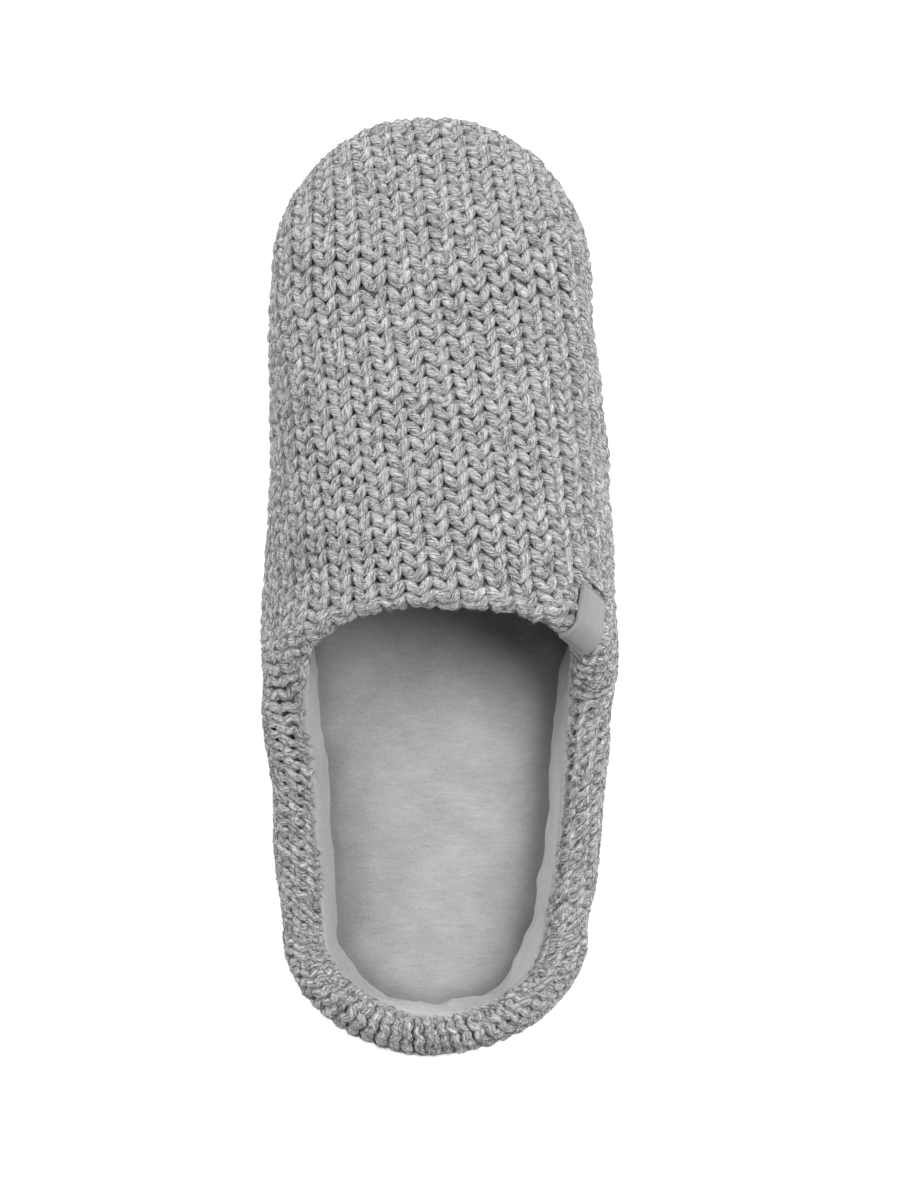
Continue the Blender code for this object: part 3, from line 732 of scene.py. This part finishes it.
class Finish:
    """One material's sheet of nodes."""

    def __init__(self, name):
        self.material = bpy.data.materials.new(name)
        self.material.use_nodes = True
        self.tree = self.material.node_tree
        self.shader = self.tree.nodes["Principled BSDF"]

    def add(self, kind, output=0, settings=None, **sockets):
        """Adds a node of a kind: its settings first, then its sockets, by name or as in_0, in_1. Gives one of
        its outputs."""
        node = self.tree.nodes.new(kind)
        for key, value in (settings or {}).items():
            setattr(node, key, value)
        for key, value in sockets.items():
            name = int(key[3:]) if key.startswith("in_") else key.replace("_", " ")
            self.plug(value, node.inputs[name])
        return Term(self, node.outputs[output])

    def plug(self, value, socket):
        if isinstance(value, Term):
            self.tree.links.new(value.socket, socket)
        else:
            socket.default_value = value

    def maths(self, operation, first, second=0.0):
        return self.add("ShaderNodeMath", settings={"operation": operation}, in_0=first, in_1=second)

    def mix(self, share, first, second):
        """Two colours mixed."""
        settings = {"data_type": "RGBA"}
        return self.add("ShaderNodeMix", 2, settings, in_0=share, in_6=first, in_7=second)

    def stretch(self, vector, by):
        settings = {"operation": "MULTIPLY"}
        return self.add("ShaderNodeVectorMath", 0, settings, in_0=vector, in_1=by)

    def noise(self, vector, scale, detail=2.0, roughness=0.5):
        return self.add("ShaderNodeTexNoise", Vector=vector, Scale=scale, Detail=detail, Roughness=roughness)

    def ramp(self, value, low, high):
        """0 up to low, 1 from high, and an even slope between them."""
        slope = self.add("ShaderNodeValToRGB", in_0=value)
        stops = slope.socket.node.color_ramp.elements
        stops[0].position, stops[1].position = low, high
        return slope

    def tones(self, value, low, high, dark, light):
        """The base colour: dark while the value is low, light when it is high."""
        self.set(Base_Color=self.mix(self.ramp(value, low, high), dark, light))

    def field(self, name, output="Vector"):
        return self.add("ShaderNodeAttribute", output, {"attribute_name": name})

    def place(self):
        return self.add("ShaderNodeNewGeometry", "Position")

    def bump(self, height, depth, strength=1.0):
        self.set(
            Normal=self.add("ShaderNodeBump", "Normal", Height=height, Distance=depth, Strength=strength)
        )

    def set(self, **sockets):
        for key, value in sockets.items():
            self.plug(value, self.shader.inputs[key.replace("_", " ")])


def shade(values, by=1.0):
    """A colour for a socket, made darker or lighter."""
    return (*(min(1.0, by * c) for c in values), 1.0)


def yarn_finish(knit, name="heather_yarn"):
    """Heathered wool: light and dark fibres that run along the strand with its twist, and a soft nap."""
    finish = Finish(name)
    strand = finish.field("strand")
    fibres = finish.noise(finish.stretch(strand, (0.42, 1.9, 1.9)), 1.0, 3.0, 0.6)
    fine = finish.noise(finish.stretch(strand, (0.9, 4.2, 4.2)), 1.0, 2.0, 0.6)
    clumps = finish.noise(finish.stretch(strand, (0.14, 0.5, 0.5)), 1.0, 2.0)
    flecks = finish.noise(finish.stretch(strand, (1.6, 7.0, 7.0)), 1.0, 2.0, 0.7)
    blend = fibres * 0.4 + fine * 0.22 + flecks * 0.28 + clumps * 0.1
    finish.tones(blend, 0.43, 0.57, shade(knit.dark), shade(knit.light))
    finish.set(Roughness=0.95, Sheen_Weight=0.15, Sheen_Roughness=0.6, Specular_IOR_Level=0.1)
    finish.bump(fibres + fine * 0.5, 0.7 * MM, 1.0)
    return finish.material


def fuzz_finish(knit):
    """Loose wool fibres, each light or dark."""
    finish = Finish("loose_fibres")
    finish.tones(finish.field("shade", "Fac"), 0.25, 0.75, shade(knit.dark), shade(knit.light))
    finish.set(Roughness=0.95, Specular_IOR_Level=0.1)
    return finish.material


def backing_shade_finish(knit):
    """The backs of the stitches, coloured darker than the yarn: painted shade in the holes between them."""
    finish = Finish("backing_felt")
    grain = finish.noise(finish.place(), 1500.0, 3.0, 0.65)
    finish.tones(grain, 0.36, 0.64, shade(knit.backing, 0.35), shade(knit.backing))
    finish.set(Roughness=1.0, Specular_IOR_Level=0.05)
    finish.bump(grain, 0.5 * MM)
    return finish.material


def plush_finish(plush, name):
    """Short pile: faint brush streaks across the foot, soft patches and a fine nap; painted light on the
    lining's outer strip and painted shade on the footbed's edge by the crease.
    """
    finish = Finish(name)
    place = finish.place()
    streaks = finish.noise(finish.stretch(place, (210, 900, 600)), 1.0, 3.0, 0.6)
    patches = finish.noise(place, 75.0, 4.0, 0.6)
    nap = finish.noise(place, 1300.0, 3.0, 0.7)
    blend = streaks * 0.3 + patches * 0.36 + nap * 0.34
    pile = finish.mix(finish.ramp(blend, 0.38, 0.62), shade(plush.colour, 0.76), shade(plush.colour))
    # Painted light: the lining's outer strip behind the throat is mixed towards a lighter copy of the pile.
    pile = finish.mix(finish.field("brushed", "Fac") * 0.5, pile, shade(plush.colour, 1.55))
    # Painted shade: the footbed's edge by the crease with the lining is mixed towards a darker copy of the
    # pile.
    pile = finish.mix(finish.field("pressed", "Fac") * 0.6, pile, shade(plush.colour, 0.5))
    finish.set(Base_Color=pile)
    finish.set(Roughness=1.0, Sheen_Weight=0.4, Sheen_Roughness=0.5, Specular_IOR_Level=0.1)
    finish.bump(nap + streaks * 0.4, 0.4 * MM, 0.8)
    return finish.material


def tab_finish(tab):
    """Soft moulded rubber, satin, with a fine grain."""
    finish = Finish("soft_rubber_tab")
    place = finish.place()
    grain = finish.noise(place, 2600.0, 2.0)
    clouds = finish.noise(place, 160.0, 2.0)
    blend = grain * 0.4 + clouds * 0.6
    finish.tones(blend, 0.35, 0.65, shade(tab.colour, 0.88), shade(tab.colour))
    finish.set(Roughness=0.42 + clouds * 0.16, Specular_IOR_Level=0.45)
    finish.bump(grain, 0.05 * MM, 0.6)
    return finish.material


def rubber_finish(sole):
    """Matt moulded rubber with a pebbled grain and a little dust in it."""
    finish = Finish("moulded_rubber")
    place = finish.place()
    pebbles = finish.add("ShaderNodeTexVoronoi", "Distance", Vector=place, Scale=1100.0)
    scuffs = finish.noise(finish.stretch(place, (120, 120, 420)), 1.0, 4.0, 0.65)
    finish.tones(scuffs, 0.4, 0.75, shade(sole.colour), shade(sole.colour, 1.9))
    finish.set(Roughness=0.55 + scuffs * 0.3, Specular_IOR_Level=0.4)
    finish.bump(pebbles, 0.12 * MM, 0.7)
    return finish.material


def dress(piece, material, slot, *nodes):
    """Gives a new piece its material, its body and the CAD nodes that it stands for; its record slot is not
    used.
    """
    piece.data.materials.append(material)
    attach(piece, "root")
    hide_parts(*nodes)


def length(name, default, description):
    return FloatProperty(name=name, default=default, unit="LENGTH", precision=5, description=description)


def tint(name, default, description):
    return FloatVectorProperty(
        name=name, default=default, subtype="COLOR", min=0, max=1, description=description
    )


def power(name, default, description):
    return FloatProperty(name=name, default=default, unit="POWER", description=description)


class KnitSizes(bpy.types.PropertyGroup):
    """The knit's gauge and yarn."""

    column: length("Column width", 7.8 * MM, "Distance between the knit's columns")
    course: length("Course height", 4.3 * MM, "Distance between the knit's rows")
    yarn: length("Yarn radius", 1.62 * MM, "Half the yarn's thickness")
    sway: length("Sway", 0.08 * MM, "How far a stitch's legs lean apart")
    reach: length("Reach", 1.8 * MM, "Half the height of a stitch")
    relief: length("Relief", 0.34 * MM, "How far a stitch's legs stand before its ends")
    foot: length("Foot", 0.44 * MM, "How far a stitch's foot stands before its head")
    sweep: length("Sweep", 15 * MM, "How far forward the rows lie outside the collar than inside it")
    calm: FloatProperty(name="Calm edge", default=0.5, subtype="FACTOR", min=0, max=1,
                        description="How far the stitches straighten as they go over the edge")
    lean: FloatProperty(name="Lean", default=math.radians(8), subtype="ANGLE",
                        description="How far the rows are turned on the foot")
    fibres: IntProperty(name="Loose fibres", default=51000, min=3,
                        description="How many loose fibres lie on the yarn")
    light: tint("Light fibres", (0.6, 0.6, 0.6), "Colour of the yarn's light fibres")
    dark: tint("Dark fibres", (0.09, 0.09, 0.09), "Colour of the yarn's dark fibres")
    # Painted shade: the backing is darker than the yarn, so the holes between stitches read as shaded.
    backing: tint("Backing", (0.16, 0.16, 0.16), "Colour seen between the stitches")


class PlushSizes(bpy.types.PropertyGroup):
    """The lining and footbed."""

    colour: tint("Pile", (0.38, 0.38, 0.38), "Colour of the plush pile")
    lump: length("Lumps", 0.35 * MM, "Height of the pile's soft unevenness")


class TabSizes(bpy.types.PropertyGroup):
    """The tab folded over the collar."""

    colour: tint("Rubber", (0.2, 0.2, 0.2), "Colour of the tab")
    groove: length("Border groove", 0.22 * MM, "Depth of the groove round the tab's face")


class SoleSizes(bpy.types.PropertyGroup):
    """The rubber sole."""

    colour: tint("Rubber", (0.055, 0.055, 0.058), "Colour of the sole")


class StageSizes(bpy.types.PropertyGroup):
    """Floor, light and camera."""

    floor: tint("Floor", (0.93, 0.93, 0.93), "Colour of the floor")
    height: length("Camera height", 1.8, "Height of the camera over the floor")
    key: power("Key light", 18.5, "Power of the key light")
    fill: power("Fill light", 15.0, "Power of the fill light")
    sky: FloatProperty(name="Surround", default=0.05, description="Strength of the white surround")
    glow: FloatProperty(name="Floor glow", default=0.5, description="How far the floor is lit from below")


class SLIPPER_OT_knit(bpy.types.Operator):
    """Knit the upper's yarn and the dark backing under it, whose colour is painted shade between the stitches
    """

    bl_idname = "slipper.knit"
    bl_label = "Knit the upper"

    def execute(self, context):
        knit = context.scene.slipper_knit
        runs = yarn_runs(knit)
        material = yarn_finish(knit)
        count = np.cumsum([len(path) for path in runs[0]])
        groups = np.searchsorted(np.linspace(0, count[-1], YARN_PIECES + 1)[1:-1], count, side="right")
        for group in range(YARN_PIECES):
            chosen = np.flatnonzero(groups == group)
            picked = [[stuff[i] for i in chosen] for stuff in runs]
            points, quads, strand = tube_mesh(*picked, YARN_SIDES)
            piece = mesh_object(f"knit_{group + 1}", points, quads, strand=strand)
            dress(piece, material, "knit", "upper")
        for group in range(FUZZ_PIECES):
            points, faces, tones = fibre_mesh(*runs, knit.fibres // FUZZ_PIECES, 40 + group)
            fuzz = mesh_object(f"knit_fuzz_{group + 1}", points, faces, shade=tones)
            dress(fuzz, fuzz_finish(knit), "knit", "upper")
        self.backing(knit)
        return {"FINISHED"}

    def backing(self, knit):
        outside, _, outward = upper_skins()
        roll = roll_rings(np.linspace(0, math.pi, ROLL_ROWS)[1:], sink=BACKING_SINK)
        grid = join([outside - outward * BACKING_SINK, roll])
        quads = grid_quads(*grid.shape[:2], round_rows=True)
        # The backing's dark colour is painted shade in the holes between the stitches.
        backing = mesh_object("knit_backing", grid.reshape(-1, 3), quads)
        dress(backing, backing_shade_finish(knit), "knit", "upper")


class SLIPPER_OT_plush(bpy.types.Operator):
    """Line the upper with plush and lay the footbed"""

    bl_idname = "slipper.plush"
    bl_label = "Line the slipper"

    def execute(self, context):
        plush = context.scene.slipper_plush
        inside = self.drawn_in(upper_skins()[1])
        lip = [roll_rings([math.radians(turn)], sink * MM) for turn, sink in LIP_ROLL]
        grid = join([inside, *lip])
        lift = dents(grid, LINING_FOLDS)
        for size, share, seed in LINING_LUMPS:
            lift += share * plush.lump * waves(grid, size, seed)
        below = len(inside) - 1 - np.arange(len(grid))
        lip_rise = LIP_RISE * np.exp(-((below / LIP_FADE) ** 2)) * (below >= 0)
        lift = lift * (below >= LIP_ROWS)[:, None] + lip_rise[:, None]
        grid = grid - grid_normals(grid) * np.clip(lift, *LINING_RISE)[:, :, None]
        quads = grid_quads(*grid.shape[:2], round_rows=True)[:, ::-1]
        # Painted light: the lining's outer side, behind the throat and away from the lip, is painted lighter.
        brushed = 1
        for way, (start, fade) in zip((grid[:, :, 0] / MM, -grid[:, :, 1] / MM, below[:, None]), PAINTED_LIGHT_FADES):
            brushed = brushed * ease((way - start) / fade)
        lining = mesh_object("plush_lining", grid.reshape(-1, 3), quads, brushed=brushed.ravel())
        dress(lining, plush_finish(plush, "plush_pile"), "plush", "upper")
        self.footbed(plush, inside, lining.data.materials[0])
        return {"FINISHED"}

    def drawn_in(self, inside):
        """The lining with its foot drawn in round the heel to the crease's corners."""
        crease = np.array(HEEL_CREASE) * MM - HEEL_MIDDLE
        bearing = np.arctan2(crease[:, 0], -crease[:, 1])
        reach = np.hypot(*crease.T)
        offset = inside[:, :, :2] - HEEL_MIDDLE
        turn = np.arctan2(offset[:, :, 0], -offset[:, :, 1])
        now = np.hypot(offset[:, :, 0], offset[:, :, 1])
        goal = np.interp(turn, bearing, reach)
        level = np.abs(inside[:, :, 2] - CREASE_LEVEL)
        ends = ease(np.minimum(turn - bearing[0], bearing[-1] - turn) / CREASE_ENDS)
        pull = np.clip(now[:1] - goal, *CREASE_PULL) * (1 - ease(level / CREASE_FADE)) * ends
        drawn = inside.copy()
        drawn[:, :, :2] -= offset / now[:, :, None] * pull[:, :, None]
        return drawn

    def footbed(self, plush, inside, material):
        """The footbed, drawn in rings from its edge to the spine, puffed up a little and dented by use, with
        painted shade along its edge by the crease.
        """
        floor = sole_top(inside[0][:, 1]) + GAP
        rings = []
        for share in FOOTBED_EDGE:
            level = floor + INSOLE_THICKNESS * share
            i = np.clip((inside[:, :, 2] > level).argmax(0), 1, None)
            j = np.arange(inside.shape[1])
            low, high = inside[i - 1, j], inside[i, j]
            t = ((level - low[:, 2]) / (high[:, 2] - low[:, 2]))[:, None]
            rings.append(low + (high - low) * t)
        rim = rings.pop()
        # Painted shade along the crease with the lining: full on the edge rings, then fading inwards.
        pressed = [np.ones(len(floor)) for _ in rings]
        y_end = np.clip(rim[:, 1], Y_HEEL, Y_TOE)
        spine = np.stack([spine_x(y_end), y_end], 1)
        for share in 1 - np.linspace(0, 1, FOOTBED_RINGS) ** FOOTBED_CROWDING:
            ring = rim.copy()
            ring[:, :2] = spine + (rim[:, :2] - spine) * share
            gap = np.linalg.norm(rim[:, :2] - ring[:, :2], axis=1)
            press = RIM_PRESS * np.exp(-gap / PRESS_FADE)
            ring[:, :2] += unit(rim[:, :2] - spine) * press[:, None]
            crown = CROWN * (1 - np.exp(-gap / CROWN_FADE))
            ring[:, 2] = sole_top(ring[:, 1]) + GAP + FOOTBED_EDGE[-1] * INSOLE_THICKNESS + crown
            ring[:, 2] += dents(ring, FOOT_DENTS)
            ring[:, 2] += plush.lump * PILE_SHARE * waves(ring, PILE_WAVE, 6)
            rings.append(ring)
            pressed.append(np.exp(-np.maximum(gap - SHADE_BAND, 0) / SHADE_FADE))
        grid = np.array(rings)
        quads = grid_quads(*grid.shape[:2], round_rows=True)
        fields = {"pressed": join(pressed)}
        footbed = mesh_object("plush_footbed", grid.reshape(-1, 3), quads, **fields)
        dress(footbed, material, "plush", "insole")


class SLIPPER_OT_tab(bpy.types.Operator):
    """Fold the bare rubber tab over the collar"""

    bl_idname = "slipper.tab"
    bl_label = "Sew on the tab"

    def execute(self, context):
        tab = context.scene.slipper_tab
        width, outside, past = LABEL_SIZE
        turn = np.linspace(0, math.pi / 2, 400)
        curve = arch_edge(1, turn)
        middle = follow(LABEL_AT, turn, curve)
        near = np.abs(turn - LABEL_AT).argmin()
        tangent = unit(curve[near + 1] - curve[near - 1])
        outward = np.array([tangent[1], -tangent[0]])
        rows, columns = LABEL_STEPS
        across = np.linspace(-0.5, 0.5, columns) * width
        along = np.linspace(outside, -past, rows)
        flat = middle + across[None, :, None] * tangent + along[:, None, None] * outward
        place, normal = wrap(flat.reshape(-1, 2))
        place, normal = place.reshape(rows, columns, 3), normal.reshape(rows, columns, 3)
        rim = np.minimum(width / 2 - np.abs(across), np.minimum(outside - along, along + past)[:, None])
        rounding = np.sqrt(1 - np.clip(1 - rim / LABEL_ROUNDING, 0, 1) ** 2)
        groove = np.exp(-(((rim - GROOVE_AT) / GROOVE_WIDTH) ** 2))
        face = LABEL_THICKNESS * (LABEL_EDGE + (1 - LABEL_EDGE) * rounding) - tab.groove * groove
        base = LABEL_LIFT - TAIL_DEPTH * ease((along - outside + TAIL) / TAIL)[:, None]
        high = place + normal * (base + face)[:, :, None]
        low = place + normal * (base - LABEL_BACK)[:, :, None]
        points = join([high.reshape(-1, 3), low.reshape(-1, 3)])
        top = grid_quads(rows, columns)
        count = rows * columns
        index = np.arange(count).reshape(rows, columns)
        border = join([index[0], index[1:, -1], index[-1, -2::-1], index[-2:0:-1, 0]])
        after = np.roll(border, -1)
        side = np.stack([border, after, after + count, border + count], 1)
        quads = join([top[:, ::-1], top + count, side])
        piece = mesh_object("rubber_tab", points, quads)
        piece.data.set_sharp_from_angle(angle=math.radians(60))
        dress(piece, tab_finish(tab), "label", "label")
        bar = middle + across[:, None] * THREAD_WIDER * tangent + (outside + THREAD_OUT) * outward
        path, rise = wrap(bar, THREAD_LIFT)
        plies = THREAD_RADIUS * (1 + 0.12 * np.cos(np.arange(len(bar)) * 1.3))
        points, quads, strand = tube_mesh([path], [rise], [plies], YARN_SIDES)
        thread = mesh_object("tab_thread", points, quads, strand=strand)
        dress(thread, yarn_finish(context.scene.slipper_knit, "tab_thread_yarn"), "knit", "label")
        return {"FINISHED"}


class SLIPPER_OT_sole(bpy.types.Operator):
    """Give the outsole its rubber"""

    bl_idname = "slipper.sole"
    bl_label = "Finish the sole"

    def execute(self, context):
        material = rubber_finish(context.scene.slipper_sole)
        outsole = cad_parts["outsole"]
        for slot in outsole.material_slots:
            slot.material = material
        return {"FINISHED"}


class SLIPPER_OT_stage(bpy.types.Operator):
    """Set the pale floor, the soft light and the camera straight above"""

    bl_idname = "slipper.stage"
    bl_label = "Set the stage"

    def execute(self, context):
        stage = context.scene.slipper_stage
        self.floor(stage)
        for name, (place, size) in LIGHTS.items():
            self.light(name, place, size, getattr(stage, name))
        world = bpy.data.worlds.new("surround")
        world.use_nodes = True
        surround = world.node_tree.nodes["Background"]
        surround.inputs["Color"].default_value = (1, 1, 1, 1)
        surround.inputs["Strength"].default_value = stage.sky
        context.scene.world = world
        context.scene.view_settings.view_transform = "Standard"
        self.camera(context, stage)
        return {"FINISHED"}

    def floor(self, stage):
        """A wide pale floor that curves up into a wall far off."""
        profile = [(radius, 0.0) for radius in FLOOR_RINGS]
        edge = FLOOR_RINGS[-1]
        for turn in np.linspace(0, math.pi / 2, 10)[1:]:
            profile.append((edge + FLOOR_BEND * math.sin(turn), FLOOR_BEND * (1 - math.cos(turn))))
        profile.append((edge + FLOOR_BEND, WALL_TOP))
        turn = np.linspace(0, math.tau, FLOOR_SIDES, endpoint=False)
        circle = np.stack([np.cos(turn), np.sin(turn)], 1)
        rings = [join([circle * r, np.full((FLOOR_SIDES, 1), z)], 1) for r, z in profile]
        grid = join([np.zeros((1, FLOOR_SIDES, 3)), rings]) - (0, 0, FLOOR_DROP)
        finish = Finish("pale_floor")
        clouds = finish.noise(finish.place(), 3.0, 2.0)
        finish.set(Base_Color=finish.mix(clouds, shade(stage.floor, 0.985), shade(stage.floor)))
        finish.set(Roughness=0.9, Emission_Color=(1, 1, 1, 1), Emission_Strength=stage.glow)
        quads = grid_quads(len(grid), FLOOR_SIDES, round_rows=True)
        floor = mesh_object("floor", grid.reshape(-1, 3), quads)
        floor.data.materials.append(finish.material)

    def light(self, name, place, size, power):
        lamp = bpy.data.lights.new(name, "AREA")
        lamp.shape = "DISK"
        lamp.size, lamp.energy = size, power
        holder = scene_object(name, lamp)
        holder.location = place
        aim = Vector(LIGHT_AIM) - Vector(place)
        holder.rotation_euler = aim.to_track_quat("-Z", "Y").to_euler()

    def camera(self, context, stage):
        data = bpy.data.cameras.new("camera")
        data.sensor_fit = "VERTICAL"
        data.sensor_height = 36.0
        frame_height = PHOTO_HEIGHT / PHOTO_PIXELS_PER_MM * MM
        data.lens = data.sensor_height * (stage.height - COLLAR_LEVEL) / frame_height
        data.clip_end = 20.0
        camera = scene_object("camera", data)
        camera.location = (*VIEW_MIDDLE, stage.height)
        context.scene.camera = camera


class SLIPPER_PT_panel(bpy.types.Panel):
    """Lists the slipper's sizes and steps"""

    bl_label = "Knitted Slipper"
    bl_idname = "SLIPPER_PT_panel"
    bl_space_type = "VIEW_3D"
    bl_region_type = "UI"
    bl_category = "Slipper"

    def draw(self, context):
        for (name, sizes), step in zip(SIZES.items(), STEPS):
            box = self.layout.box()
            box.operator(step.bl_idname)
            for key in sizes.__annotations__:
                box.prop(getattr(context.scene, name), key)


SIZES = {
    "slipper_stage": StageSizes,
    "slipper_knit": KnitSizes,
    "slipper_plush": PlushSizes,
    "slipper_tab": TabSizes,
    "slipper_sole": SoleSizes,
}
STEPS = (SLIPPER_OT_stage, SLIPPER_OT_knit, SLIPPER_OT_plush, SLIPPER_OT_tab, SLIPPER_OT_sole)
CLASSES = (*SIZES.values(), *STEPS, SLIPPER_PT_panel)


def register():
    for item in CLASSES:
        bpy.utils.register_class(item)
    for name, sizes in SIZES.items():
        setattr(bpy.types.Scene, name, PointerProperty(type=sizes))


def unregister():
    for name in SIZES:
        delattr(bpy.types.Scene, name)
    for item in reversed(CLASSES):
        bpy.utils.unregister_class(item)


def main():
    register()
    bpy.ops.slipper.stage()
    bpy.ops.slipper.knit()
    bpy.ops.slipper.plush()
    bpy.ops.slipper.tab()
    bpy.ops.slipper.sole()


if __name__ == "__main__":
    main()
